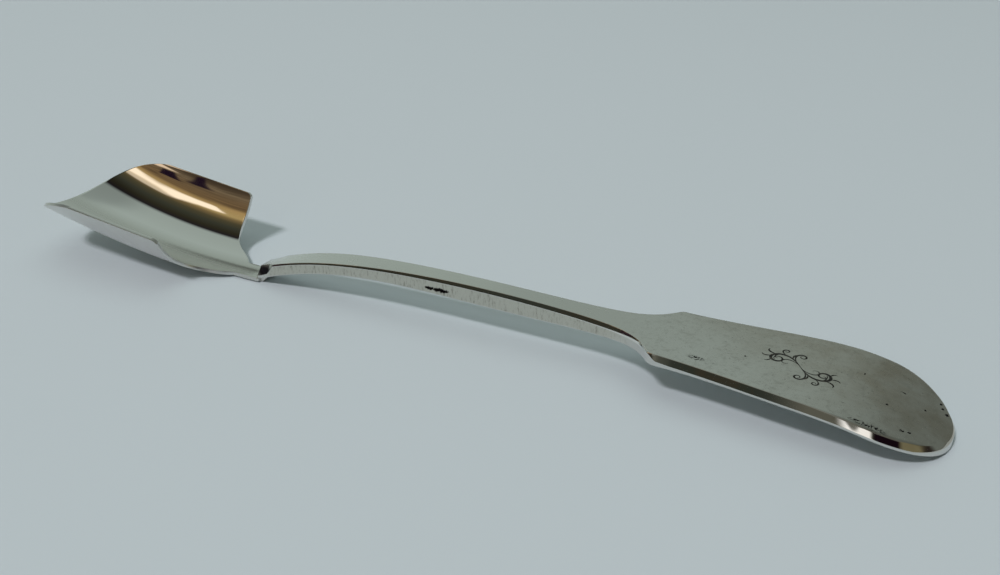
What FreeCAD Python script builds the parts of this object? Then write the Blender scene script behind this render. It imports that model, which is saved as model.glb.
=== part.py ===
"""A stilton scoop: a silver trough on a long arched stem that ends in a fiddle-shaped handle.

It is one forging, so it is one solid. The bowl is a sheet, bent to an arc, trimmed to a tongue in
front and swept in to the stem behind. The handle is forged as a bar that arches in the side view
and swells to the fiddle in the plan view, with a facet filed along its upper edge. A short tongue
of the stem, the drop, runs on under the heel of the bowl and carries it.

X runs along the scoop to the handle's end, Z is up, and the scoop lies on its drop and on the
turned-down end of the handle. Lengths are millimetres. In the sheet x is counted from the front
edge of the bowl, and the finished scoop is then moved back by half its length.
"""

import FreeCAD, Part
import os
import Sketcher

Vector = FreeCAD.Vector

# grams of silver in a cubic millimetre
SILVER = 0.0103

SIZES = {
    # lengths along the scoop, from the front edge of the bowl
    "bowl_length": 67.5,
    "stem_length": 111.4,
    "fiddle_length": 61.1,
    # the bowl, a bent sheet: its section at three places along it
    "bowl_half_width": 18.6,
    "sheet_thickness": 0.9,
    "front_section_ahead": 2.0,
    "front_section_rim": 20.9,
    "front_section_floor": 12.0,
    "middle_section_x": 31.0,
    "middle_section_rim": 16.7,
    "middle_section_floor": 4.0,
    "back_section_behind": 2.5,
    "back_section_rim": 11.7,
    "back_section_floor": 0.9,
    # the tongue in front, seen from the side
    "tip_height": 9.5,
    "tongue_shoulder_x": 7.8,
    "tongue_shoulder_height": 19.0,
    "tongue_end_x": 24.6,
    "tongue_end_height": 17.9,
    # the sweep behind, seen from above, counted back from the heel
    "sweep_length": 17.3,
    "sweep_start_y": 15.2,
    "sweep_hollow_y": 7.3,
    "sweep_foot_length": 10.9,
    "sweep_foot_y": 7.7,
    "neck_of_bowl_length": 7.4,
    # the handle from the side: heights of the upper face, and where each lies
    "root_height": 4.5,
    "root_slope_run": 1.5,
    "rise_run": 12.5,
    "rise_height": 8.5,
    "arch_front_run": 32.5,
    "arch_front_height": 12.1,
    "arch_back_run": 39.0,
    "arch_back_height": 12.6,
    "shoulder_height": 10.4,
    "bend_run": 32.0,
    "bend_height": 9.7,
    "droop_run": 12.0,
    "droop_height": 8.4,
    "end_height": 1.4,
    # how deep the handle is below each of those places
    "root_depth": 3.9,
    "rise_depth": 3.2,
    "arch_front_depth": 2.7,
    "arch_back_depth": 5.7,
    "fiddle_thickness": 2.2,
    # the handle from above: half widths, and where each lies
    "root_half_width": 3.3,
    "stem_swell_half_width": 4.1,
    "stem_front_run": 43.3,
    "stem_front_half_width": 3.0,
    "stem_waist_half_width": 2.6,
    "neck_run": 13.0,
    "neck_half_width": 3.1,
    "flare_run": 3.7,
    "flare_half_width": 5.9,
    "shoulder_half_width": 11.5,
    "fiddle_side_run": 15.0,
    "fiddle_side_half_width": 12.0,
    "fiddle_swell_run": 32.0,
    "fiddle_end_run": 15.6,
    "fiddle_half_width": 15.6,
    # how full the round end is, as a share of its length and width
    "end_fullness": 0.56,
    # edges
    "stem_facet_width": 0.45,
    "stem_facet_height": 1.0,
    "fiddle_facet_width": 0.7,
    "fiddle_facet_height": 1.25,
    "lower_edge_radius": 0.4,
    # the drop under the heel
    "drop_length": 10.0,
    "drop_half_width": 2.4,
    "drop_bottom_height": -0.2,
    "drop_top_height": 0.6,
    "drop_heel_run": 1.5,
    "drop_back_run": 5.0,
    "drop_back_height": 3.2,
    "drop_corner_radius": 2.2,
    # metal left at the end of the bar and cut off with its outline
    "end_allowance": 1.0,
    # how far a cutting tool reaches past what it cuts
    "tool_overrun": 12.0,
}

# Places along the scoop, worked out from the sheet.
HEEL = "sizes.bowl_length"
SHOULDER = "(sizes.bowl_length + sizes.stem_length)"
END = "(sizes.bowl_length + sizes.stem_length + sizes.fiddle_length)"
WIDEST = f"({END} - sizes.fiddle_end_run)"


def make_sheet(doc):
    """Writes each size into a row of the sheet, with its name as the alias."""
    sheet = doc.addObject("Spreadsheet::Sheet", "sizes")
    for row, (name, value) in enumerate(SIZES.items(), start=1):
        sheet.set(f"A{row}", name)
        sheet.set(f"B{row}", str(value))
        sheet.setAlias(f"B{row}", name)
    doc.recompute()
    return sheet


def place_point(sketch, geometry, point, x_size, y_size):
    """Ties a point of a sketch to the sheet, by its distances from the sketch's origin."""
    for kind, size in (("DistanceX", x_size), ("DistanceY", y_size)):
        distance = sketch.evalExpression(size)
        tie = Sketcher.Constraint(kind, -1, 1, geometry, point, float(distance))
        sketch.setExpression(f"Constraints[{sketch.addConstraint(tie)}]", size)


def value_point(sketch, place):
    """The starting place of a point that the sheet gives, in the sketch's own plane."""
    return Vector(*(float(sketch.evalExpression(size)) for size in place), 0)


def draw_curve(sketch, places):
    """A smooth curve over control points, each tied to the sheet."""
    curve = Part.BSplineCurve()
    degree = min(3, len(places) - 1)
    curve.buildFromPoles([value_point(sketch, place) for place in places], False, degree)
    index = sketch.addGeometry(curve, False)
    first_pole = sketch.GeometryCount
    sketch.exposeInternalGeometry(index)
    for step, (x_size, y_size) in enumerate(places):
        place_point(sketch, first_pole + step, 3, x_size, y_size)
    return index


def draw_line(sketch, start, end):
    """A straight line between two points, each tied to the sheet."""
    line = Part.LineSegment(value_point(sketch, start), value_point(sketch, end))
    index = sketch.addGeometry(line, False)
    place_point(sketch, index, 1, *start)
    place_point(sketch, index, 2, *end)
    return index


def draw_path(sketch, places):
    """Straight lines from each point to the next."""
    for start, end in zip(places, places[1:]):
        draw_line(sketch, start, end)


def new_sketch(body, plane, name):
    """A sketch on one of the origin planes of its own body."""
    sketch = body.newObject("Sketcher::SketchObject", name)
    support = next(item for item in body.Origin.OriginFeatures if item.Role == plane)
    sketch.AttachmentSupport = (support, [""])
    sketch.MapMode = "FlatFace"
    return sketch


def mirrored(places):
    """The same points on the other side of the middle plane."""
    return [(x_size, f"-({y_size})") for x_size, y_size in places]


def edges_where(shape, wanted):
    """Names of the edges that a test picks."""
    return [f"Edge{number}" for number, edge in enumerate(shape.Edges, start=1) if wanted(edge)]


def long_face(shape, upper):
    """The long upper or lower face of the handle."""
    def lean(face):
        across = face.Surface.parameter(face.CenterOfMass)
        return face.normalAt(*across).z

    facing = [face for face in shape.Faces if (lean(face) > 0.7 if upper else lean(face) < -0.7)]
    return max(facing, key=lambda face: face.Area)


def meets_first(shape, edge_name, face):
    """Whether a face is the first of the two that meet at an edge, which a facet measures from."""
    return shape.ancestorsOfType(shape.getElement(edge_name), Part.Face)[0].isSame(face)


def part_way(start, end, share):
    """A point between two others."""
    return tuple(f"({a}) + {share} * (({b}) - ({a}))" for a, b in zip(start, end))


def outline_of_handle():
    """The curves of one side of the handle from above, from the root to the tip of the end."""
    flare = (f"{SHOULDER} - sizes.flare_run", "sizes.flare_half_width")
    corner = (SHOULDER, "sizes.shoulder_half_width")
    along_side = (f"{SHOULDER} + sizes.fiddle_side_run", "sizes.fiddle_side_half_width")
    widest = (WIDEST, "sizes.fiddle_half_width")
    tip = (END, "0")
    stem = [
        (HEEL, "sizes.root_half_width"),
        (f"{HEEL} + sizes.rise_run", "sizes.stem_swell_half_width"),
        (f"{HEEL} + sizes.stem_front_run", "sizes.stem_front_half_width"),
        (f"{SHOULDER} - sizes.arch_back_run", "sizes.stem_waist_half_width"),
        (f"{SHOULDER} - sizes.neck_run", "sizes.neck_half_width"),
        flare,
        corner,
    ]
    side = [corner, along_side, (f"{END} - sizes.fiddle_swell_run", "sizes.fiddle_half_width"), widest]
    end = [
        widest,
        part_way(widest, (END, "sizes.fiddle_half_width"), "sizes.end_fullness"),
        part_way(tip, (END, "sizes.fiddle_half_width"), "sizes.end_fullness"),
        tip,
    ]
    return stem, side, end


def upper_face():
    """The control points of the handle's upper face, seen from the side."""
    return [
        (f"{HEEL} + sizes.root_slope_run", "sizes.root_height"),
        (f"{HEEL} + sizes.rise_run", "sizes.rise_height"),
        (f"{HEEL} + sizes.arch_front_run", "sizes.arch_front_height"),
        (f"{SHOULDER} - sizes.arch_back_run", "sizes.arch_back_height"),
        (SHOULDER, "sizes.shoulder_height"),
        (f"{END} - sizes.bend_run", "sizes.bend_height"),
        (f"{END} - sizes.droop_run", "sizes.droop_height"),
        (f"{END} + sizes.end_allowance", "sizes.end_height"),
    ]


def lower_face():
    """The upper face let down at each control point by the depth that the handle has there."""
    depths = ["root_depth", "rise_depth", "arch_front_depth", "arch_back_depth"]
    depths += ["fiddle_thickness"] * len(upper_face()[len(depths):])
    points = [(x, f"{height} - sizes.{depth}") for (x, height), depth in zip(upper_face(), depths)]
    return [(HEEL, points[0][1]), *points[1:]]


def make_handle(doc):
    """The bar from the side, cut to its outline from above, with its facet and its edges."""
    body = doc.addObject("PartDesign::Body", "handle")

    profile = new_sketch(body, "XZ_Plane", "handle_from_the_side")
    draw_curve(profile, upper_face())
    draw_curve(profile, lower_face())
    draw_line(profile, upper_face()[0], lower_face()[0])
    draw_line(profile, upper_face()[-1], lower_face()[-1])
    bar = body.newObject("PartDesign::Pad", "forged_bar")
    bar.Profile = profile
    bar.SideType = "Symmetric"
    bar.setExpression("Length", "2 * sizes.fiddle_half_width + sizes.tool_overrun")

    outline = new_sketch(body, "XY_Plane", "handle_from_above")
    for curve in outline_of_handle():
        draw_curve(outline, curve)
        draw_curve(outline, mirrored(curve))
    root = (HEEL, "sizes.root_half_width")
    run_in = (f"{HEEL} - sizes.tool_overrun", "sizes.root_half_width")
    draw_path(outline, [root, run_in, *mirrored([run_in, root])])
    reach_y = "sizes.fiddle_half_width + sizes.tool_overrun"
    near = (f"{HEEL} - 2 * sizes.tool_overrun", reach_y)
    far = (f"{END} + sizes.tool_overrun", reach_y)
    draw_path(outline, [near, far, *mirrored([far, near]), near])
    waste = body.newObject("PartDesign::Pocket", "waste_around_outline")
    waste.Profile = outline
    waste.Type = "ThroughAll"
    waste.SideType = "Symmetric"
    doc.recompute()

    root_x = SIZES["bowl_length"] + SIZES["root_slope_run"]
    shoulder_x = root_x + SIZES["stem_length"]
    last = waste

    def runs_around(shape, upper, start, stop, sides=(-1, 1)):
        """The long edges of the upper or lower face with their middle between two stations."""
        face_edges = long_face(shape, upper).Edges

        def wanted(edge):
            middle = edge.BoundBox.Center
            on_side = any(middle.y * side > 0 for side in sides)
            inside = start < middle.x < stop
            return on_side and inside and any(edge.isSame(other) for other in face_edges)

        return edges_where(shape, wanted)

    facets = [
        ("fiddle", "around", shoulder_x, 2 * shoulder_x, (-1, 1)),
        ("stem", "right", root_x, shoulder_x, (-1,)),
        ("stem", "left", root_x, shoulder_x, (1,)),
    ]
    for name, place, start, stop, sides in facets:
        facet = body.newObject("PartDesign::Chamfer", f"{name}_facet_{place}")
        edges = runs_around(last.Shape, True, start, stop, sides)
        facet.Base = (last, edges)
        facet.ChamferType = "Two distances"
        facet.setExpression("Size", f"sizes.{name}_facet_height")
        facet.setExpression("Size2", f"sizes.{name}_facet_width")
        facet.FlipDirection = meets_first(last.Shape, edges[0], long_face(last.Shape, True))
        doc.recompute()
        last = facet

    lower = body.newObject("PartDesign::Fillet", "rounded_lower_edge")
    lower.Base = (last, runs_around(last.Shape, False, root_x, 2 * shoulder_x))
    lower.setExpression("Radius", "sizes.lower_edge_radius")
    doc.recompute()
    return body


def make_drop(doc):
    """The tongue of the stem under the heel of the bowl, on which the scoop lies."""
    body = doc.addObject("PartDesign::Body", "drop")
    front = f"{HEEL} - sizes.drop_length"
    heel = f"{HEEL} + sizes.drop_heel_run"
    inside_stem = f"{HEEL} + sizes.drop_back_run"
    profile = new_sketch(body, "XZ_Plane", "drop_from_the_side")
    draw_path(profile, [
        (front, "sizes.drop_top_height"),
        (front, "sizes.drop_bottom_height"),
        (heel, "sizes.drop_bottom_height"),
        (inside_stem, "sizes.drop_back_height"),
        (heel, "sizes.drop_back_height"),
        (HEEL, "sizes.drop_top_height"),
        (front, "sizes.drop_top_height"),
    ])
    block = body.newObject("PartDesign::Pad", "drop_block")
    block.Profile = profile
    block.SideType = "Symmetric"
    block.setExpression("Length", "2 * sizes.drop_half_width")
    doc.recompute()

    front_x = SIZES["bowl_length"] - SIZES["drop_length"]

    def stands_in_front(edge):
        box = edge.BoundBox
        return abs(box.Center.x - front_x) < 0.01 and box.YLength < 0.01 and box.ZLength > 0.1

    tongue = body.newObject("PartDesign::Fillet", "round_tongue")
    tongue.Base = (block, edges_where(block.Shape, stands_in_front))
    tongue.setExpression("Radius", "sizes.drop_corner_radius")
    doc.recompute()
    return body


def draw_section(doc, place, x_size):
    """One arc across the bowl, from rim to rim through the floor."""
    sketch = doc.addObject("Sketcher::SketchObject", f"{place}_section")
    across = FreeCAD.Rotation(Vector(0, 1, 0), Vector(0, 0, 1), Vector(1, 0, 0), "XYZ")
    sketch.Placement = FreeCAD.Placement(Vector(), across)
    sketch.setExpression("Placement.Base.x", x_size)
    rim = f"sizes.{place}_section_rim"
    floor = f"sizes.{place}_section_floor"
    depth = f"({rim} - {floor})"
    radius = f"(sizes.bowl_half_width * sizes.bowl_half_width + {depth} * {depth}) / (2 * {depth})"
    ends = [value_point(sketch, (f"{side}sizes.bowl_half_width", rim)) for side in ("-", "")]
    sketch.addGeometry(Part.Arc(ends[0], value_point(sketch, ("0", floor)), ends[1]), False)
    start, end = (1, 2) if sketch.getPoint(0, 1).x < 0 else (2, 1)
    place_point(sketch, 0, start, "-sizes.bowl_half_width", rim)
    place_point(sketch, 0, end, "sizes.bowl_half_width", rim)
    bend = Sketcher.Constraint("Radius", 0, float(sketch.evalExpression(radius)))
    sketch.setExpression(f"Constraints[{sketch.addConstraint(bend)}]", radius)
    return sketch


def make_trim(doc, name, plane, curve, corners):
    """A solid for trimming: a curve closed by straight lines and drawn out on both sides."""
    body = doc.addObject("PartDesign::Body", name)
    sketch = new_sketch(body, plane, f"{name}_outline")
    draw_curve(sketch, curve)
    draw_path(sketch, [curve[-1], *corners, curve[0]])
    pad = body.newObject("PartDesign::Pad", f"{name}_pad")
    pad.Profile = sketch
    pad.SideType = "Symmetric"
    pad.setExpression("Length", "4 * (sizes.bowl_half_width + sizes.tool_overrun)")
    return body


def make_bowl(doc):
    """The sheet: a surface over three arcs, trimmed in front and behind and given its thickness."""
    blank = doc.addObject("Part::Loft", "bent_blank")
    blank.Sections = [
        draw_section(doc, "front", "-sizes.front_section_ahead"),
        draw_section(doc, "middle", "sizes.middle_section_x"),
        draw_section(doc, "back", f"{HEEL} + sizes.back_section_behind"),
    ]
    blank.Solid = False
    blank.Ruled = False

    above = "sizes.front_section_rim + sizes.tool_overrun"
    ahead = "-sizes.front_section_ahead - sizes.tool_overrun"
    tongue = [
        ("0", "sizes.tip_height"),
        ("sizes.tongue_shoulder_x", "sizes.tongue_shoulder_height"),
        ("sizes.tongue_end_x", "sizes.tongue_end_height"),
    ]
    front = make_trim(doc, "waste_before_tongue", "XZ_Plane", tongue, [
        ("sizes.tongue_end_x", above),
        (ahead, above),
        (ahead, "-sizes.tool_overrun"),
        ("0", "-sizes.tool_overrun"),
    ])

    rim_back = f"{HEEL} - sizes.sweep_length"
    beside = "sizes.bowl_half_width + sizes.tool_overrun"
    behind = f"{HEEL} + sizes.back_section_behind + sizes.tool_overrun"
    sweep = [
        (rim_back, "sizes.sweep_start_y"),
        (rim_back, "sizes.sweep_hollow_y"),
        (f"{HEEL} - sizes.sweep_foot_length", "sizes.sweep_foot_y"),
        (f"{HEEL} - sizes.neck_of_bowl_length", "sizes.root_half_width"),
    ]
    neck = (HEEL, "sizes.root_half_width")
    corners = [neck, (HEEL, "0"), (behind, "0"), (behind, beside), (rim_back, beside)]
    left = make_trim(doc, "waste_beside_heel_left", "XY_Plane", sweep, corners)
    right = make_trim(doc, "waste_beside_heel_right", "XY_Plane", mirrored(sweep), mirrored(corners))

    trimmed = blank
    for step, waste in enumerate((front, left, right), start=1):
        cut = doc.addObject("Part::Cut", f"trimmed_blank_{step}")
        cut.Base = trimmed
        cut.Tool = waste
        trimmed = cut
    sheet = doc.addObject("Part::Offset", "bowl_sheet")
    sheet.Source = trimmed
    sheet.Fill = True
    sheet.setExpression("Value", "sizes.sheet_thickness")
    doc.recompute()
    return sheet


def make_scoop(doc):
    """The three forms as one forging, lying at height zero around the middle of its length."""
    forms = [make_bowl(doc), make_drop(doc), make_handle(doc)]
    scoop = doc.addObject("Part::MultiFuse", "scoop")
    scoop.Label = "scoop"
    scoop.Shapes = forms
    scoop.Refine = False
    doc.recompute()
    box = scoop.Shape.optimalBoundingBox(False)
    scoop.Placement.Base = Vector(-box.Center.x, -box.Center.y, -box.ZMin)
    doc.recompute()
    return scoop


def check(doc, scoop):
    """Stops before anything is written if an object failed or the scoop isn't one sound solid."""
    for item in doc.Objects:
        if "Invalid" in item.State or "Error" in item.State:
            raise RuntimeError(f"{item.Name} failed: {item.State}")
    if scoop.Shape.isNull() or not scoop.Shape.isValid() or len(scoop.Shape.Solids) != 1:
        raise RuntimeError("the scoop isn't one valid solid")


def main():
    doc = FreeCAD.newDocument("stilton_scoop")
    make_sheet(doc)
    scoop = make_scoop(doc)
    check(doc, scoop)
    os.makedirs("parts", exist_ok=True)
    scoop.Shape.exportStep(f"parts/{scoop.Label}.step")
    box = scoop.Shape.optimalBoundingBox(False)
    volume = scoop.Shape.Volume
    print(f"{scoop.Label}: {volume:.0f} cubic millimetres, {volume * SILVER:.1f} g of silver")
    print(f"x {box.XMin:.2f} to {box.XMax:.2f}, y {box.YMin:.2f} to {box.YMax:.2f}, z {box.ZMin:.2f} to {box.ZMax:.2f}")


main()
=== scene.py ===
"""The looks of a stilton scoop: one silver forging, worn and polished, lying on a pale table.

The bowl, the drop under its heel and the handle are shaped from the same named sizes as the part's
source and joined into one piece, which takes the place of the solid. Sizes are millimetres, with x
counted from the front of the bowl, and place() turns them into the frame's metres.
"""

import bisect
import math

import bmesh
import bpy
from mathutils import Euler, Matrix, Quaternion, Vector


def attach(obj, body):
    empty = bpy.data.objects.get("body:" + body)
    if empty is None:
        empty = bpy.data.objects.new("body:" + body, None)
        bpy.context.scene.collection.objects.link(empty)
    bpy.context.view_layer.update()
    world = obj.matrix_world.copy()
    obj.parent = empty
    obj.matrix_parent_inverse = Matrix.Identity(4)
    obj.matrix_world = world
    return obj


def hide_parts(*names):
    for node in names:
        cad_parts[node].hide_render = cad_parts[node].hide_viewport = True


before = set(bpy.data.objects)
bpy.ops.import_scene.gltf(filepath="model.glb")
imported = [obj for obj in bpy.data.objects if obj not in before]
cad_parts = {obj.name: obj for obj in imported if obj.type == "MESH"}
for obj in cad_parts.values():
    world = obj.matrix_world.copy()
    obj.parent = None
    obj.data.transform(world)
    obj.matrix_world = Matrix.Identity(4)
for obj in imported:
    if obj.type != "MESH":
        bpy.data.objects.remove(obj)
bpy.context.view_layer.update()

# where the frame's origin lies along the scoop, and how high the scoop stands over its own zero
MIDDLE_X = 120.53
REST_Z = 0.2

# where the bowl's heel meets the stem
HEEL = 67.5

# the bowl: half its width at the rim, its sheet, and the height of its rim and floor at three places
BOWL_HALF_WIDTH = 18.6
SHEET_THICKNESS = 0.9
BOWL_SECTIONS = [(-2.0, 20.9, 12.0), (31.0, 16.7, 4.0), (70.0, 11.7, 0.9)]

# the neck that the bowl leaves between its sweeps, and how far it reaches into the stem
NECK_X = 60.1
NECK_HALF_WIDTH = 3.3
NECK_OVERLAP = 0.9

# what trims the sheet: the tongue's curve in front from the side, and the sweeps behind from above
TONGUE = [(0.0, 9.5), (7.8, 19.0), (24.6, 17.9)]
RIM_BACK = 50.2
SWEEP = [(RIM_BACK, 15.2), (RIM_BACK, 7.3), (56.6, 7.7), (NECK_X, NECK_HALF_WIDTH)]
RIM_CORNER_RADIUS = 1.3
RIM_EDGE_RADIUS = 0.22

# the drop under the heel: its outline from the side, its half width and its rounding
DROP_SIDE_VIEW = [(57.5, 0.6), (57.5, -0.2), (69.0, -0.2), (72.5, 3.2), (69.0, 3.2), (67.5, 0.6)]
DROP_HALF_WIDTH = 2.4
DROP_NOSE_RADIUS = 2.2
DROP_EDGE_RADIUS = 0.25

# the handle from the side: its upper face, and how deep it is below each of those points
UPPER_FACE = [(69.0, 4.5), (80.0, 8.5), (100.0, 12.1), (139.9, 12.6),
              (178.9, 10.4), (208.0, 9.7), (228.0, 8.4), (241.0, 1.4)]
DEPTHS = [3.9, 3.2, 2.7, 5.7, 2.2, 2.2, 2.2, 2.2]

# the handle from above: half widths along the stem, the fiddle's side and its round end
STEM_SIDE = [(67.5, 3.3), (80.0, 4.1), (110.8, 3.0), (139.9, 2.6), (165.9, 3.1), (175.2, 5.9), (178.9, 11.5)]
FIDDLE_SIDE = [(178.9, 11.5), (193.9, 12.0), (208.0, 15.6), (224.4, 15.6)]
FIDDLE_END = [(224.4, 15.6), (233.1, 15.6), (240.0, 8.7), (240.0, 0.0)]
ROOT_CORNER = 1.3
SHOULDER_CORNER = 1.6

# the filed facet along the handle's upper edge: place along the handle, width and height
FACETS = [(67.5, 1.3, 2.6), (71.8, 1.2, 2.3), (73.6, 0.2, 0.6), (90.0, 0.18, 0.6), (108.0, 0.22, 0.75),
          (122.0, 0.28, 0.95), (150.0, 0.32, 1.15), (170.0, 0.36, 1.25), (176.0, 0.3, 0.85),
          (179.0, 0.22, 0.5), (180.6, 0.5, 1.5), (184.0, 0.52, 1.7), (218.0, 0.52, 1.7),
          (226.0, 0.75, 1.5), (234.0, 0.75, 1.5), (238.4, 0.7, 0.9), (239.7, 0.35, 0.4)]

# how round the facet's upper edge is rubbed at places along the handle, and its foot everywhere
FACET_SOFTNESS = [(150.0, 0.05), (180.0, 0.10), (212.0, 0.12), (224.0, 0.45), (235.0, 0.40), (238.0, 0.12)]
FACET_FOOT_RADIUS = 0.15

# the slope that faces the bowl at the stem's root: its end, its width and height, and its softer edge
ROOT_END = 75.0
ROOT_SLOPE = (1.6, 3.3)
ROOT_SOFTNESS = 0.38

# the rounding of the handle's lower edge
LOWER_EDGE_RADIUS = 0.4

# the engraved scroll: its middle from the frame's origin, its turn and its scale
SCROLL_MIDDLE = (88.0, -0.4)
SCROLL_TURN = math.radians(-72)
SCROLL_SCALE = 0.88

# dark pits, from the frame's origin: middles and reaches of the two dents on the stem's side, of the
# small pits on the fiddle, and of its three clusters of specks
DENTS = [((0.0, -2.9, 9.7), (1.9, 2.0, 0.55)), ((3.0, -2.9, 9.65), (2.9, 2.0, 0.7))]
SMALL_PITS = [((115.5, 7.6, 4.0), (0.35, 0.5, 3.0)), ((116.1, 6.3, 3.8), (0.32, 0.5, 3.0)),
              ((117.2, 5.1, 3.3), (0.45, 0.6, 3.0)), ((113.2, 1.9, 5.0), (0.3, 0.42, 3.0)),
              ((110.5, -9.8, 6.0), (0.6, 0.45, 3.0)), ((111.9, -9.1, 5.5), (0.42, 0.38, 3.0)),
              ((108.4, 4.0, 6.7), (0.8, 0.3, 3.0)), ((106.3, -3.3, 7.3), (0.28, 0.42, 3.0)),
              ((100.2, 4.8, 8.6), (0.34, 0.45, 3.0)), ((76.8, -1.8, 10.1), (0.36, 0.3, 3.0))]
CLUSTERS = [((67.9, -8.0, 10.4), (2.2, 1.2, 3.0)), ((103.1, -13.9, 8.1), (3.2, 0.9, 3.0)),
            ((105.8, -13.8, 7.4), (3.2, 1.2, 3.0))]

# how a Map Range node turns a number: slowly at both ends
SMOOTH = {"interpolation_type": "SMOOTHSTEP"}


def place(x, y, z):
    """A point of the scoop in the frame's metres."""
    return Vector(((x - MIDDLE_X) / 1000, y / 1000, (z + REST_Z) / 1000))


def smooth_curve(poles, steps):
    """Points along a smooth curve over control points, from the first to the last."""
    degree = min(3, len(poles) - 1)
    spans = len(poles) - degree
    knots = [0] * degree + list(range(spans + 1)) + [spans] * degree
    points = []
    for step in range(steps + 1):
        at = spans * step / steps
        span = min(int(at), spans - 1) + degree
        pulled = [Vector(poles[span - degree + index]) for index in range(degree + 1)]
        for level in range(1, degree + 1):
            for index in range(degree, level - 1, -1):
                low = knots[index + span - degree]
                high = knots[index + 1 + span - level]
                pulled[index] = pulled[index - 1].lerp(pulled[index], (at - low) / (high - low))
        points.append(pulled[degree])
    return points


def value_at(points, x):
    """Reads a curve or a table at x. Past its ends it keeps its end values."""
    places = [point[0] for point in points]
    after = min(max(bisect.bisect_left(places, x), 1), len(points) - 1)
    start, end = points[after - 1], points[after]
    share = min(max((x - start[0]) / (end[0] - start[0]), 0), 1)
    values = [a + share * (b - a) for a, b in zip(start[1:], end[1:])]
    return values[0] if len(values) == 1 else values


def bowl_point(x, share):
    """The bowl's inner face at x, at a share of the arc from its middle to a rim."""
    y = 0
    z = 0
    for at, rim, floor in BOWL_SECTIONS:
        depth = rim - floor
        radius = (BOWL_HALF_WIDTH ** 2 + depth ** 2) / (2 * depth)
        bend = math.asin(BOWL_HALF_WIDTH / radius) * share
        others = [other for other, _, _ in BOWL_SECTIONS if other != at]
        weight = math.prod((x - other) / (at - other) for other in others)
        y += weight * radius * math.sin(bend)
        z += weight * (floor + radius * (1 - math.cos(bend)))
    return y, z


def halved(low, high, beyond):
    """The place between two values where a test turns true, by halving."""
    for _ in range(30):
        middle = (low + high) / 2
        if beyond(middle):
            high = middle
        else:
            low = middle
    return (low + high) / 2


TONGUE_CURVE = smooth_curve(TONGUE, 120)
SWEEP_CURVE = smooth_curve(SWEEP, 120)
UPPER_CURVE = smooth_curve(UPPER_FACE, 400)
LOWER_FACE = [(x, z - depth) for (x, z), depth in zip(UPPER_FACE, DEPTHS)]
LOWER_CURVE = smooth_curve([(HEEL, LOWER_FACE[0][1]), *LOWER_FACE[1:]], 400)


def bowl_front(share):
    """Where the tongue's curve trims the sheet in front."""
    return halved(0, 32, lambda x: bowl_point(x, share)[1] < value_at(TONGUE_CURVE, x))


def bowl_back(share):
    """Where the sweep trims the sheet behind, with its corner at the rim rounded off."""
    back = halved(RIM_BACK, NECK_X, lambda x: bowl_point(x, abs(share))[0] > value_at(SWEEP_CURVE, x))
    to_rim = (1 - share) * math.dist(bowl_point(back, 1), bowl_point(back, 0.9)) * 10
    reach = max(RIM_CORNER_RADIUS - to_rim, 0)
    return back - RIM_CORNER_RADIUS + math.sqrt(RIM_CORNER_RADIUS ** 2 - reach ** 2)


def new_object(name, mesh_maker):
    """An object from a mesh that is still being made."""
    mesh = bpy.data.meshes.new(name)
    mesh_maker.to_mesh(mesh)
    mesh_maker.free()
    piece = bpy.data.objects.new(name, mesh)
    bpy.context.scene.collection.objects.link(piece)
    return piece


def make_bowl():
    """The sheet: a grid bent to the bowl's arcs, drawn out to the neck, thickened and edge-rounded."""
    neck_columns = 8
    wall_columns = 56
    columns = neck_columns + wall_columns
    rows = 110
    neck_share = halved(0, 1, lambda share: bowl_point(NECK_X, share)[0] > NECK_HALF_WIDTH)
    shares = [neck_share * step / neck_columns for step in range(neck_columns)]
    shares += [neck_share + (1 - neck_share) * step / wall_columns for step in range(wall_columns + 1)]
    fronts = [bowl_front(share) for share in shares]
    backs = [NECK_X if step <= neck_columns else bowl_back(share) for step, share in enumerate(shares)]

    maker = bmesh.new()
    bmesh.ops.create_grid(maker, x_segments=rows, y_segments=2 * columns, size=1)
    last_row = []
    for vert in maker.verts:
        along = (vert.co.x + 1) / 2
        column = round(abs(vert.co.y) * columns)
        side = 1 if vert.co.y > 0 else -1
        x = fronts[column] + along * (backs[column] - fronts[column])
        y, z = bowl_point(x, side * shares[column])
        if along > 0.999 and column <= neck_columns:
            last_row.append(vert)
        vert.co = (x, y, z)
    neck_edges = [edge for edge in maker.edges if all(vert in last_row for vert in edge.verts)]
    neck_steps = 8
    neck_length = HEEL + NECK_OVERLAP - NECK_X
    for step in range(1, neck_steps + 1):
        drawn = bmesh.ops.extrude_edge_only(maker, edges=neck_edges)["geom"]
        x = NECK_X + neck_length * step / neck_steps
        for vert in [item for item in drawn if isinstance(item, bmesh.types.BMVert)]:
            y = vert.co.y
            share = halved(0, 2 * neck_share, lambda value: bowl_point(x, value)[0] > abs(y))
            vert.co = (x, y, bowl_point(x, share)[1])
        neck_edges = [item for item in drawn if isinstance(item, bmesh.types.BMEdge)]
    for vert in maker.verts:
        vert.co = place(*vert.co)
    bmesh.ops.recalc_face_normals(maker, faces=maker.faces)
    if sum(face.normal.z for face in maker.faces) < 0:
        bmesh.ops.reverse_faces(maker, faces=maker.faces)
    bowl = new_object("bowl", maker)
    wall = bowl.modifiers.new("sheet", "SOLIDIFY")
    wall.thickness = SHEET_THICKNESS / 1000
    wall.offset = -1
    wall.use_even_offset = True
    edge = bowl.modifiers.new("rounded_rim", "BEVEL")
    edge.width = RIM_EDGE_RADIUS / 1000
    edge.segments = 3
    edge.limit_method = "ANGLE"
    edge.angle_limit = math.radians(50)
    return bowl


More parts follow.
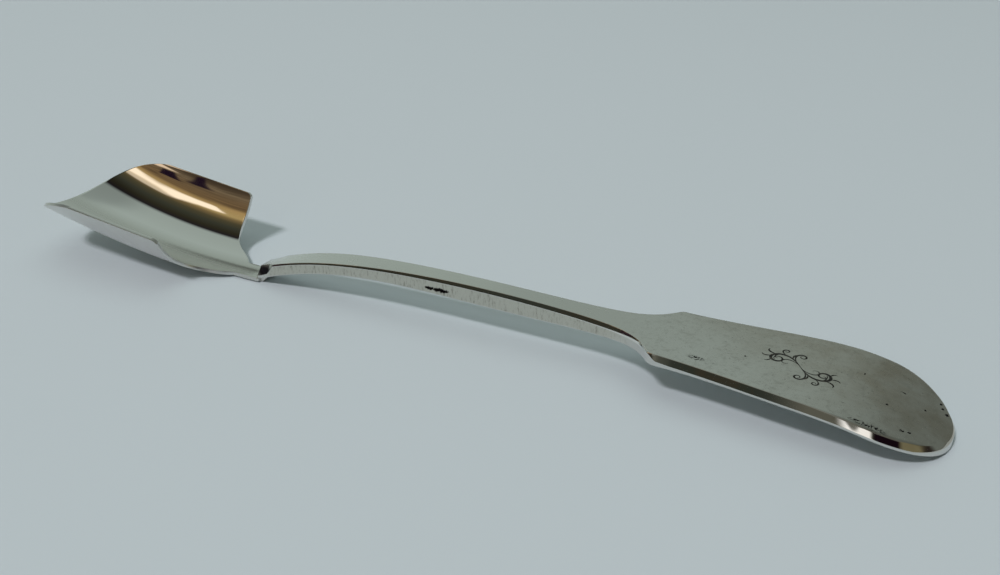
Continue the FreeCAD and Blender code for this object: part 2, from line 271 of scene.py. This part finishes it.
def turned_corner(first, second, reach, steps=10):
    """Two runs of points joined by a round corner in place of their sharp one."""
    corner = first[-1]
    before = [point for point in first if (point - corner).length > reach]
    after = [point for point in second if (point - corner).length > reach]
    start = before[-1]
    end = after[0]
    turn = []
    for step in range(1, steps):
        share = step / steps
        turn.append(start.lerp(corner, share).lerp(corner.lerp(end, share), share))
    return before + turn + after


def rounded(profile, radii):
    """A profile with its inner corners rounded, four points to a corner."""
    points = [profile[0]]
    for before, corner, after, radius in zip(profile, profile[1:], profile[2:], radii):
        start = corner + (before - corner).normalized() * radius
        end = corner + (after - corner).normalized() * radius
        for share in (0, 1 / 3, 2 / 3, 1):
            points.append(start.lerp(corner, share).lerp(corner.lerp(end, share), share))
    return points + [profile[-1]]


def handle_outline():
    """One side of the handle from above: across the root, along the stem and round the end."""
    root = [Vector((HEEL, NECK_HALF_WIDTH * step / 12)) for step in range(13)]
    stem = smooth_curve(STEM_SIDE, 260)
    side = smooth_curve(FIDDLE_SIDE, 70)
    end = smooth_curve(FIDDLE_END, 60)
    stem = turned_corner(root, stem, ROOT_CORNER)
    return turned_corner(stem, side + end[1:], SHOULDER_CORNER)


def make_handle():
    """The bar: a grid carried along the outline on one way and round the section on the other."""
    outline = handle_outline()
    sections = []
    for step, point in enumerate(outline):
        before = outline[max(step - 1, 0)]
        after = outline[min(step + 1, len(outline) - 1)]
        run = (after - before).normalized()
        inward = Vector((run.y, -run.x))
        if step == 0:
            inward = Vector((1, 0))
        if step == len(outline) - 1:
            inward = Vector((-1, 0))
        width, height = value_at(FACETS, point.x)
        frontal = max(inward.x, 0) ** 2 if point.x < ROOT_END else 0
        width += frontal * (ROOT_SLOPE[0] - width)
        height += frontal * (ROOT_SLOPE[1] - height)
        top = UPPER_FACE[0][1] if point.x < UPPER_FACE[0][0] else value_at(UPPER_CURVE, point.x)
        bottom = value_at(LOWER_CURVE, point.x)
        inner = Vector((width + 0.5, 0))
        profile = [inner, Vector((width, 0)), Vector((0, -height)), Vector((0, bottom - top)),
                   Vector((LOWER_EDGE_RADIUS + 0.3, bottom - top))]
        soft = value_at(FACET_SOFTNESS, point.x)
        radii = (soft + ROOT_SOFTNESS * frontal, FACET_FOOT_RADIUS, LOWER_EDGE_RADIUS)
        ring = rounded(profile, radii)
        sections.append((point, inward, top, bottom, ring))

    # each section runs over the top from its middle, round the ring and back to the middle below
    across = [0.0, 0.3, 0.6, 0.85]
    ring_size = len(sections[0][4])
    half = len(across) + ring_size + len(across)
    maker = bmesh.new()
    bmesh.ops.create_grid(maker, x_segments=len(sections) - 1, y_segments=2 * half - 1, size=1)
    for vert in maker.verts:
        step = round((vert.co.x + 1) / 2 * (len(sections) - 1))
        turn = round((vert.co.y + 1) / 2 * (2 * half - 1))
        side = 1 if turn < half else -1
        turn = turn if turn < half else 2 * half - 1 - turn
        point, inward, top, bottom, ring = sections[step]
        if turn < len(across):
            start, share = ring[0], across[turn]
        elif turn >= len(across) + ring_size:
            start, share = ring[-1], across[half - 1 - turn]
        else:
            start, share = ring[turn - len(across)], 1
        spot = point + inward * start.x
        spot.y = max(spot.y, 0) * share
        if start.y > bottom - top + LOWER_EDGE_RADIUS + 0.01:
            z = value_at(UPPER_CURVE, spot.x) + start.y
        else:
            z = value_at(LOWER_CURVE, spot.x) + start.y - (bottom - top)
        vert.co = place(spot.x, side * spot.y, z)
    seam_reach = 0.000004
    bmesh.ops.remove_doubles(maker, verts=maker.verts, dist=seam_reach)
    bmesh.ops.recalc_face_normals(maker, faces=maker.faces)
    return new_object("handle", maker)


def make_drop():
    """The tongue of the stem under the heel, on which the scoop lies."""
    maker = bmesh.new()
    corners = [maker.verts.new((x, -DROP_HALF_WIDTH, z)) for x, z in DROP_SIDE_VIEW]
    face = maker.faces.new(corners)
    drawn = bmesh.ops.extrude_face_region(maker, geom=[face])["geom"]
    for vert in [item for item in drawn if isinstance(item, bmesh.types.BMVert)]:
        vert.co.y = DROP_HALF_WIDTH
    front, bottom = DROP_SIDE_VIEW[1]
    nose = [edge for edge in maker.edges if all(vert.co.x < front + 0.1 for vert in edge.verts)
            and abs(edge.verts[0].co.y - edge.verts[1].co.y) < 0.1]
    bmesh.ops.bevel(maker, geom=nose, offset=DROP_NOSE_RADIUS, offset_type="OFFSET", segments=8,
                    profile=0.5, affect="EDGES", material=-1)
    lower = [edge for edge in maker.edges if all(vert.co.z < bottom + 0.1 for vert in edge.verts)]
    bmesh.ops.bevel(maker, geom=lower, offset=DROP_EDGE_RADIUS, offset_type="OFFSET", segments=3,
                    profile=0.5, affect="EDGES", material=-1)
    for vert in maker.verts:
        vert.co = place(*vert.co)
    bmesh.ops.recalc_face_normals(maker, faces=maker.faces)
    return new_object("drop", maker)


def joined(name, pieces):
    """One piece from several, each with its modifiers carried out."""
    bpy.context.view_layer.update()
    shapes = bpy.context.evaluated_depsgraph_get()
    maker = bmesh.new()
    for piece in pieces:
        mesh = bpy.data.meshes.new_from_object(piece.evaluated_get(shapes))
        maker.from_mesh(mesh)
        bpy.data.meshes.remove(mesh)
        bpy.data.objects.remove(piece)
    return new_object(name, maker)


def linear(hex_colour):
    """A screen colour as the linear values that a shader takes."""
    parts = [int(hex_colour[start:start + 2], 16) / 255 for start in (0, 2, 4)]
    return [part / 12.92 if part < 0.04045 else ((part + 0.055) / 1.055) ** 2.4 for part in parts] + [1]


def add_node(tree, kind, *values, named=None, **settings):
    """A shader node with its settings. Its inputs, by place or by name, are set to values or linked to
    other nodes' outputs. It gives back the node's first output."""
    node = tree.nodes.new("ShaderNode" + kind)
    for name, value in settings.items():
        setattr(node, name, value)
    chosen = list(zip([socket for socket in node.inputs if socket.enabled], values))
    chosen += [(node.inputs[name], value) for name, value in (named or {}).items()]
    for socket, value in chosen:
        if isinstance(value, bpy.types.NodeSocket):
            tree.links.new(value, socket)
        else:
            socket.default_value = value
    return [socket for socket in node.outputs if socket.enabled][0]


def within(tree, value, low, high, soft):
    """One between two values and zero outside them, with soft ends."""
    rise = add_node(tree, "MapRange", value, low - soft, low + soft, **SMOOTH)
    fall = add_node(tree, "MapRange", value, high - soft, high + soft, 1, 0, **SMOOTH)
    return add_node(tree, "Math", rise, fall, operation="MULTIPLY")


def near(tree, position, centre, reaches):
    """One at a place on the scoop, fading to zero at its reach along each axis."""
    away = add_node(tree, "VectorMath", position, centre, operation="SUBTRACT")
    shares = add_node(tree, "VectorMath", away, reaches, operation="DIVIDE")
    length = add_node(tree, "VectorMath", shares, operation="LENGTH")
    return add_node(tree, "MapRange", length, 0.4, 1.0, 1, 0, **SMOOTH)


def near_any(tree, position, places):
    """One near any of several places, each given by its middle and its reaches."""
    found = 0.0
    for centre, reaches in places:
        found = add_node(tree, "Math", found, near(tree, position, centre, reaches), operation="MAXIMUM")
    return found


def worn_sterling_silver():
    """Sterling silver, forged, filed and buffed, then long used and polished by hand: the bowl's far
    wall is a clean mirror, its floor and the handle's top are softened by scratches, a brown bloom
    spreads to the handle's end, the stem's sides keep a dull film, and knocks have left dark pits.
    Downward and side faces are painted a little darker as shade, and the root's slope carries a
    painted dark reflection."""
    material = bpy.data.materials.new("worn_sterling_silver")
    material.use_nodes = True
    tree = material.node_tree
    shader = tree.nodes["Principled BSDF"]
    shader.inputs["Metallic"].default_value = 1

    # sizes of the marks in millimetres. Polishing hairlines are a few hundredths wide and would not
    # show, so they are drawn 0.25 wide and 4 long: their size over the two stretches of their pattern
    cloud_size = 9.0
    mottle_size = 1.6
    rub_size = 0.5
    speck_size = 0.5
    ragged_size = 0.45
    hairline_size = 1.5
    hairline_stretch = (0.35, 6, 1)
    wave_size = 7.0

    # depths in metres: the wave that the hammer left, the hairlines and the pits
    wave_depth = 0.000004
    hairline_depth = 0.000002
    pit_depth = 0.00004

    # where things are: millimetres from the frame's origin, and which way the surface faces
    coordinates = add_node(tree, "TexCoord").node.outputs["Object"]
    position = add_node(tree, "Mapping", coordinates, named={"Scale": (1000, 1000, 1000)})
    axes = add_node(tree, "SeparateXYZ", position).node.outputs
    x = axes["X"]
    y = axes["Y"]
    normal = add_node(tree, "NewGeometry").node.outputs["Normal"]
    facing = add_node(tree, "SeparateXYZ", normal).node.outputs
    upward = add_node(tree, "MapRange", facing["Z"], 0.8, 0.97, **SMOOTH)
    on_handle = add_node(tree, "MapRange", x, -52, -46, **SMOOTH)
    in_bowl = add_node(tree, "MapRange", x, -52, -46, 1, 0, **SMOOTH)
    on_stem = add_node(tree, "MapRange", x, 44, 58, 1, 0, **SMOOTH)
    on_fiddle = add_node(tree, "MapRange", x, 42, 60, **SMOOTH)
    handle_top = add_node(tree, "Math", upward, on_handle, operation="MULTIPLY")

    # bloom: brown towards the handle's end and its far edge, in clouds
    clouds = add_node(tree, "TexNoise", position, 1 / cloud_size, 4, 0.6)
    far_edge = add_node(tree, "MapRange", y, -16, 16, 0, 0.35, **SMOOTH)
    towards_end = add_node(tree, "Math", x, 0.01, far_edge, operation="MULTIPLY_ADD")
    towards_end = add_node(tree, "MapRange", towards_end, 0.7, 1.35, **SMOOTH)
    cloudy = add_node(tree, "MapRange", clouds, 0.3, 0.72, 0.5, 1, **SMOOTH)
    bloom = add_node(tree, "Math", towards_end, cloudy, operation="MULTIPLY")
    bloom = add_node(tree, "Math", bloom, on_handle, operation="MULTIPLY")
    bloom = add_node(tree, "Math", bloom, 0.8, operation="MULTIPLY")
    grain = add_node(tree, "TexNoise", position, 1 / mottle_size, 5, 0.65)
    mottle = add_node(tree, "MapRange", grain, 0.46, 0.78, 0, 0.34, **SMOOTH)
    mottle = add_node(tree, "Math", mottle, handle_top, operation="MULTIPLY")
    mottle = add_node(tree, "Math", mottle, on_fiddle, operation="MULTIPLY")
    brown_patch = near(tree, position, (30.0, -2.9, 10.0), (5.5, 2.0, 1.6))
    brown_patch = add_node(tree, "Math", brown_patch, 0.35, operation="MULTIPLY")

    # painted shade on downward and side faces, a little darker; a dull film with upright rub marks on the
    # stem's sides
    painted_shade_below = add_node(tree, "MapRange", facing["Z"], 0.3, 0.1, **SMOOTH)
    tilt = add_node(tree, "Math", facing["Z"], operation="ABSOLUTE")
    stem_side = add_node(tree, "MapRange", tilt, 0.1, 0.24, 1, 0, **SMOOTH)
    stem_side = add_node(tree, "Math", stem_side, on_handle, operation="MULTIPLY")
    stem_side = add_node(tree, "Math", stem_side, on_stem, operation="MULTIPLY")
    rubbing = add_node(tree, "Mapping", position, named={"Scale": (1, 1, 0.25)})
    rubs = add_node(tree, "TexNoise", rubbing, 1 / rub_size, 4, 0.7)
    rubs = add_node(tree, "MapRange", rubs, 0.48, 0.75, **SMOOTH)
    film = add_node(tree, "Mix", rubs, linear("CBC9BE"), linear("99958A"), data_type="RGBA")

    # a painted dark reflection: violet-black in the corner of the root's slope, where it faces the dark room
    # on the camera's side
    painted_dark_reflection = near(tree, position, (-50.4, -3.6, 3.9), (5.5, 2.6, 2.3))
    slope = within(tree, facing["Z"], 0.22, 0.72, 0.06)
    near_side = add_node(tree, "MapRange", facing["Y"], -0.3, -0.5, **SMOOTH)
    slope = add_node(tree, "Math", slope, near_side, operation="MULTIPLY")
    painted_dark_reflection = add_node(tree, "Math", painted_dark_reflection, slope, operation="MULTIPLY")
    painted_dark_reflection = add_node(tree, "Math", painted_dark_reflection, 0.93, operation="MULTIPLY")

    # pits: dark places where the handle was knocked, with ragged outlines, and stray specks
    ragged = add_node(tree, "TexNoise", position, 1 / ragged_size, 2, 0.6)
    ragged = add_node(tree, "Math", ragged, 0.5, operation="SUBTRACT")
    ragged = add_node(tree, "VectorMath", position, ragged, operation="ADD")
    knocked = near_any(tree, ragged, [*DENTS, *SMALL_PITS])
    knocked = add_node(tree, "MapRange", knocked, 0.2, 0.7, **SMOOTH)
    specks = add_node(tree, "TexNoise", position, 1 / speck_size, 3, 0.6)
    dense = add_node(tree, "MapRange", specks, 0.46, 0.56, **SMOOTH)
    clustered = add_node(tree, "Math", near_any(tree, position, CLUSTERS), dense, operation="MULTIPLY")
    stray = add_node(tree, "MapRange", specks, 0.62, 0.70, 0, 0.3, **SMOOTH)
    stray = add_node(tree, "Math", stray, on_fiddle, operation="MULTIPLY")
    stray = add_node(tree, "Math", stray, handle_top, operation="MULTIPLY")
    pits = add_node(tree, "Math", clustered, knocked, operation="MAXIMUM")
    pits = add_node(tree, "Math", pits, stray, operation="MAXIMUM")

    # colour: clean silver under bloom, mottle, painted shade below, film, a painted dark reflection at the
    # root, and pits
    colour = linear("EEEDE8")
    for share, over_it in [(bloom, linear("AFA18D")), (mottle, linear("8F8B80")),
                           (brown_patch, linear("7A6850")), (painted_shade_below, linear("D8D7D3")),
                           (stem_side, film), (painted_dark_reflection, linear("1C102C")), (pits, linear("161313"))]:
        colour = add_node(tree, "Mix", share, colour, over_it, data_type="RGBA")
    tree.links.new(colour, shader.inputs["Base Color"])

    # polish: a mirror, with the handle's top worn dull in clouds and the bowl's floor rubbed
    mirror = 0.02
    dull = add_node(tree, "MapRange", clouds, 0.3, 0.75, 0.13, 0.24, **SMOOTH)
    hairlines = add_node(tree, "Mapping", position,
                         named={"Scale": hairline_stretch, "Rotation": (0, 0, 0.35)})
    hairlines = add_node(tree, "TexNoise", hairlines, 1 / hairline_size, 3, 0.6)
    hairlines = add_node(tree, "MapRange", hairlines, 0.35, 0.75, 0, 0.05, **SMOOTH)
    hairlines = add_node(tree, "Math", hairlines, on_handle, operation="MULTIPLY")
    floor_rub = add_node(tree, "MapRange", y, 4, -3, 0, 0.28, **SMOOTH)
    roughness = add_node(tree, "Math", handle_top, dull, mirror, operation="MULTIPLY_ADD")
    roughness = add_node(tree, "Math", hairlines, roughness, operation="ADD")
    roughness = add_node(tree, "Math", in_bowl, floor_rub, roughness, operation="MULTIPLY_ADD")
    roughness = add_node(tree, "Math", stem_side, 0.15, roughness, operation="MULTIPLY_ADD")
    roughness = add_node(tree, "Math", pits, 0.4, roughness, operation="MULTIPLY_ADD")
    tree.links.new(roughness, shader.inputs["Roughness"])

    # surface: the hammer's wave, the hairlines and the pits' depth
    wave = add_node(tree, "TexNoise", position, 1 / wave_size, 1, 0.4)
    surface = add_node(tree, "Bump", 1, wave_depth, named={"Height": wave})
    surface = add_node(tree, "Bump", 0.5, hairline_depth, named={"Height": hairlines, "Normal": surface})
    surface = add_node(tree, "Bump", 1, pit_depth, named={"Height": pits, "Normal": surface}, invert=True)
    tree.links.new(surface, shader.inputs["Normal"])
    return material


def blackened_silver():
    """Silver sulphide left in the engraver's cuts, which makes them read as thin dark lines, rubbed
    lighter in places."""
    material = bpy.data.materials.new("blackened_silver")
    material.use_nodes = True
    tree = material.node_tree
    shader = tree.nodes["Principled BSDF"]
    shader.inputs["Metallic"].default_value = 0.7
    shader.inputs["Roughness"].default_value = 0.42
    rubbed_size = 1.4
    coordinates = add_node(tree, "TexCoord").node.outputs["Object"]
    position = add_node(tree, "Mapping", coordinates, named={"Scale": (1000, 1000, 1000)})
    rubbed = add_node(tree, "TexNoise", position, 1 / rubbed_size, 3, 0.6)
    rubbed = add_node(tree, "MapRange", rubbed, 0.45, 0.7, **SMOOTH)
    colour = add_node(tree, "Mix", rubbed, linear("221F1D"), linear("5A554C"), data_type="RGBA")
    tree.links.new(colour, shader.inputs["Base Color"])
    return material


def curl(start, heading, length, turn):
    """A winding curl: nearly straight where it starts, turning faster and faster towards its end."""
    steps = 60
    spot = Vector(start)
    route = [(spot.copy(), heading)]
    for step in range(steps):
        heading_here = heading + turn * ((step + 0.5) / steps) ** 2.2
        angle = math.radians(heading_here)
        spot += length / steps * Vector((math.cos(angle), math.sin(angle)))
        route.append((spot.copy(), heading_here))
    return route


def engraved_line(maker, route, turned, widest):
    """A cut line: thin at its ends and widest past its middle, lying in the handle's upper face."""
    made = bmesh.ops.create_grid(maker, x_segments=len(route) - 1, y_segments=2, size=1)["verts"]
    for vert in made:
        step = round((vert.co.x + 1) / 2 * (len(route) - 1))
        spot, heading = route[step]
        angle = math.radians(heading)
        half = widest / 2 * (0.25 + 0.75 * math.sin(math.pi * step / (len(route) - 1)) ** 1.2)
        spot = turned @ (spot + Vector((-math.sin(angle), math.cos(angle))) * half * vert.co.y)
        x = MIDDLE_X + SCROLL_MIDDLE[0] + spot.x
        height = 0.012 if abs(vert.co.y) < 0.5 else 0.004
        vert.co = place(x, SCROLL_MIDDLE[1] + spot.y, value_at(UPPER_CURVE, x) + height)


def make_scroll():
    """A plain scroll: a stem that winds up at both ends, with curls and leaves, the same when it is
    turned half round. The branches are listed by place on the stem, angle, length, turn and width."""
    stem = curl((0, 0), 18, 19, 560)
    branches = [(0.12, -14, 9.5, -480, 0.54), (0.30, -20, 6.2, -430, 0.44), (0.05, 16, 7.5, 300, 0.38),
                (0.44, -38, 3.4, -120, 0.54), (0.52, -44, 2.8, -110, 0.48), (0.60, -50, 2.2, -100, 0.42),
                (0.36, 30, 3.4, 170, 0.34), (0.20, -40, 2.6, -70, 0.44)]
    maker = bmesh.new()
    for half_turn in (0, math.pi):
        turned = Matrix.Rotation(half_turn + SCROLL_TURN, 2) @ Matrix.Scale(SCROLL_SCALE, 2)
        engraved_line(maker, stem, turned, 0.75)
        for share, angle, length, turn, widest in branches:
            start, heading = stem[round(share * (len(stem) - 1))]
            engraved_line(maker, curl(start, heading + angle, length, turn), turned, widest)
    bmesh.ops.recalc_face_normals(maker, faces=maker.faces)
    for face in maker.faces:
        if face.normal.z < 0:
            face.normal_flip()
    return new_object("engraved_scroll", maker)


# scoop, with creases at the rim and along the filed facets, which are shaded flat
crease_angle = math.radians(40)
scoop = joined("scoop_silver", [make_bowl(), make_handle(), make_drop()])
scoop.data.shade_smooth()
scoop.data.set_sharp_from_angle(angle=crease_angle)
scoop.data.materials.append(worn_sterling_silver())
flat = scoop.modifiers.new("flat_facets", "WEIGHTED_NORMAL")
flat.keep_sharp = True
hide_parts("scoop")

# scroll
scroll = make_scroll()
scroll.data.shade_smooth()
scroll.data.materials.append(blackened_silver())
for piece in (scoop, scroll):
    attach(piece, "root")

# table: matt studio paper, pale and cool, which takes shadows and has no sheen
maker = bmesh.new()
bmesh.ops.create_grid(maker, x_segments=1, y_segments=1, size=2)
table = new_object("table", maker)
paper = bpy.data.materials.new("studio_paper")
paper.use_nodes = True
paper_inputs = paper.node_tree.nodes["Principled BSDF"].inputs
paper_inputs["Base Color"].default_value = linear("CDD9DE")
paper_inputs["Roughness"].default_value = 0.6
table.data.materials.append(paper)

# camera: fitted to the photo's outlines, in degrees below the horizon, to the left and in roll
looks_down = 25.185
turned_left = 27.666
roll = -0.05
camera = bpy.data.objects.new("camera", bpy.data.cameras.new("camera"))
camera.data.lens = 40.70
camera.data.sensor_width = 36
camera.location = (0.12812, -0.21121, 0.12454)
aim = Euler((math.radians(90 - looks_down), 0, math.radians(turned_left))).to_quaternion()
camera.rotation_mode = "QUATERNION"
camera.rotation_quaternion = aim @ Quaternion((0, 0, 1), math.radians(roll))
camera.data.clip_start = 0.01
bpy.context.scene.collection.objects.link(camera)
bpy.context.scene.camera = camera


def slanted(tree, over, x, slope, low, high, left, right):
    """A narrow dark window of the room, leaning in the map of directions."""
    line = add_node(tree, "Math", x, slope, over, operation="MULTIPLY_ADD")
    across = within(tree, line, low, high, 0.3)
    return add_node(tree, "Math", across, within(tree, x, left, right, 0.002), operation="MULTIPLY")


def make_world():
    """Soft studio surroundings: a pale tent behind and above, and on the camera's side a dim warm room
    with a long lamp. A direction is read as x along the scoop and as degrees over it from behind."""
    world = bpy.data.worlds.new("soft_studio")
    world.use_nodes = True
    tree = world.node_tree
    direction = add_node(tree, "TexCoord").node.outputs["Generated"]
    axes = add_node(tree, "SeparateXYZ", direction).node.outputs
    x = axes["X"]
    over = add_node(tree, "Math", axes["Z"], axes["Y"], operation="ARCTAN2")
    over = add_node(tree, "Math", over, operation="DEGREES")
    half_turn = add_node(tree, "Math", over, 180, operation="DIVIDE")

    # as the bowl sees it: the tent, the dark past its edge, a lit wall, furniture and the floor
    seen_from_bowl = [(0, "98A39F"), (39.6, "848E88"), (61.2, "949F9B"), (86.4, "8E9894"), (88.56, "6E7573"),
                      (90.36, "1F1C1E"), (96.3, "28261C"), (104.4, "33342B"), (111.6, "45402E"),
                      (117, "6E5D3E"), (120.6, "A08A5C"), (129.6, "9A8054"),
                      (134.1, "6E583C"), (144, "6B5840"), (151.2, "6E5F4A"),
                      (156.6, "4A3E30"), (162.9, "2E2820"), (167.4, "262A24")]

    # as the handle sees it: the tent all the way over, and the dark floor
    seen_from_handle = [(0, "8A938E"), (28.8, "8A948F"), (81, "8A948F"), (93.6, "8C938D"), (126, "8A8C84"),
                        (164.7, "7C7D75"), (167.4, "2A302B")]
    views = []
    for stops in (seen_from_bowl, seen_from_handle):
        view = add_node(tree, "ValToRGB", half_turn)
        points = view.node.color_ramp.elements
        while len(points) < len(stops):
            points.new(0.5)
        for point, (degrees, hex_colour) in zip(points, stops):
            point.position = degrees / 180
            point.color = linear(hex_colour)
        views.append(view)
    seam = add_node(tree, "MapRange", over, 128, 137, 0, 0.08, **SMOOTH)
    seam = add_node(tree, "Math", x, seam, operation="ADD")
    seam = add_node(tree, "MapRange", seam, -0.36, -0.31, **SMOOTH)
    colour = add_node(tree, "Mix", seam, *views, data_type="RGBA")

    # low on the camera's side, as the handle's facets see it: dark, then lighter, then a curtain
    low = add_node(tree, "MapRange", x, 0, 0.2, 0, 22, **SMOOTH)
    low = add_node(tree, "Math", over, low, operation="ADD")
    low = add_node(tree, "MapRange", low, 165, 168, **SMOOTH)
    furniture = add_node(tree, "MapRange", x, -0.42, -0.25, **SMOOTH)
    furniture = add_node(tree, "Math", furniture, low, operation="MULTIPLY")
    curtain = add_node(tree, "MapRange", x, 0.33, 0.42, **SMOOTH)
    curtain = add_node(tree, "Math", curtain, low, operation="MULTIPLY")

    # a dark doorway far to the left, which shows in the slope at the stem's root
    doorway = add_node(tree, "MapRange", over, 60, 75, **SMOOTH)
    doorway = add_node(tree, "Math", doorway, within(tree, x, -0.915, -0.74, 0.03), operation="MULTIPLY")

    # uneven things on the bowl's part of the room, and two dark windows among them
    places = add_node(tree, "CombineXYZ", add_node(tree, "Math", x, 150, operation="MULTIPLY"),
                      add_node(tree, "Math", over, 0.35, operation="MULTIPLY"))
    uneven = add_node(tree, "TexNoise", places, 1, 3, 0.6)
    uneven = add_node(tree, "MapRange", uneven, 0.35, 0.68, 0, 0.55, **SMOOTH)
    past_lamp = add_node(tree, "MapRange", over, 128, 136, **SMOOTH)
    bowl_part = add_node(tree, "MapRange", x, -0.44, -0.36, 1, 0, **SMOOTH)
    uneven = add_node(tree, "Math", uneven, past_lamp, operation="MULTIPLY")
    uneven = add_node(tree, "Math", uneven, bowl_part, operation="MULTIPLY")
    left_window = slanted(tree, over, x, 272, -4.4, -1.6, -0.557, -0.527)
    right_window = slanted(tree, over, x, 399, -68.3, -65.9, -0.569, -0.5345)
    windows = add_node(tree, "Math", left_window, right_window, operation="MAXIMUM")
    for share, hex_colour in [(furniture, "68685E"), (curtain, "241620"), (doorway, "1E1420"),
                              (uneven, "3B3024"), (windows, "1A0F1C")]:
        colour = add_node(tree, "Mix", share, colour, linear(hex_colour), data_type="RGBA")

    # darker to the right, where the tent ends
    past_bowl = add_node(tree, "MapRange", x, -0.44, -0.36, 1, 0.86, **SMOOTH)
    to_right = add_node(tree, "MapRange", x, -0.2, 0.35, 1, 0.6, **SMOOTH)
    front = add_node(tree, "Math", add_node(tree, "MapRange", x, -0.425, -0.372, **SMOOTH),
                     add_node(tree, "MapRange", over, 42, 58, **SMOOTH), operation="MULTIPLY")
    front = add_node(tree, "MapRange", front, 0, 1, 1, 0.78, **SMOOTH)
    dim = add_node(tree, "Math", past_bowl, to_right, operation="MULTIPLY")
    dim = add_node(tree, "Math", dim, front, operation="MULTIPLY")
    colour = add_node(tree, "Mix", dim, linear("000000"), colour, data_type="RGBA")

    # the long lamp, bent a little as the bowl sees it
    rise = add_node(tree, "MapRange", x, -0.455, -0.485, 118, 123.8)
    fall = add_node(tree, "MapRange", x, -0.485, -0.505, 0, 1.2)
    from_lamp = add_node(tree, "Math", over, rise, operation="SUBTRACT")
    from_lamp = add_node(tree, "Math", from_lamp, fall, operation="SUBTRACT")
    lamp = add_node(tree, "Math", within(tree, from_lamp, -3, 3, 1.2),
                    within(tree, x, -0.5035, -0.44, 0.0015), operation="MULTIPLY")
    lamp_end = add_node(tree, "MapRange", x, -0.468, -0.457, 1, 0.45, **SMOOTH)
    lamp = add_node(tree, "Math", lamp, lamp_end, operation="MULTIPLY")

    # a bright window by the handle, a brass thing past the tip, and a glow at the bowl's far rim
    window = add_node(tree, "Math", low, within(tree, x, -0.06, 0.32, 0.05), operation="MULTIPLY")
    brass = add_node(tree, "MapRange", over, 60, 120, -0.06, 0, **SMOOTH)
    brass = add_node(tree, "Math", x, brass, operation="ADD")
    brass = add_node(tree, "MapRange", brass, 0.83, 0.91, **SMOOTH)
    brass = add_node(tree, "Math", brass, within(tree, over, 0, 184, 2), operation="MULTIPLY")
    brass_light = add_node(tree, "MapRange", over, 20, 125, **SMOOTH)
    brass_colour = add_node(tree, "Mix", brass_light, linear("2C2825"), linear("726E57"), data_type="RGBA")
    rim_glow = add_node(tree, "MapRange", x, -0.559, -0.565, 0, 0.8, **SMOOTH)
    rim_glow = add_node(tree, "Math", rim_glow, within(tree, over, 142, 152, 1), operation="MULTIPLY")
    for share, over_it in [(lamp, linear("FFEBD0")), (window, linear("FFFFFF")), (brass, brass_colour),
                           (rim_glow, linear("E8CDB0"))]:
        colour = add_node(tree, "Mix", share, colour, over_it, data_type="RGBA")
    background = tree.nodes["Background"]
    background.inputs["Strength"].default_value = 1.2
    tree.links.new(colour, background.inputs["Color"])
    return world


def soft_lamp(name, direction, distance, size, watts, colour):
    """A rectangular lamp that faces the scoop."""
    data = bpy.data.lights.new(name, "AREA")
    data.shape = "RECTANGLE"
    data.size, data.size_y = size
    data.energy = watts
    data.color = linear(colour)[:3]
    lamp = bpy.data.objects.new(name, data)
    lamp.location = Vector(direction).normalized() * distance
    lamp.rotation_euler = Vector(direction).to_track_quat("Z", "Y").to_euler()
    lamp.visible_glossy = False
    bpy.context.scene.collection.objects.link(lamp)


# light: one long lamp on the camera's side and a wide one over the table
bpy.context.scene.world = make_world()
soft_lamp("long_lamp", (-0.14, -0.76, 1.0), 6.0, (1.2, 0.64), 180.0, "FFF9FD")
soft_lamp("tent_lamp", (0.0, 0.15, 1.0), 3.0, (3.6, 3.6), 21.0, "F8FFFC")
bpy.context.scene.view_settings.view_transform = "Standard"
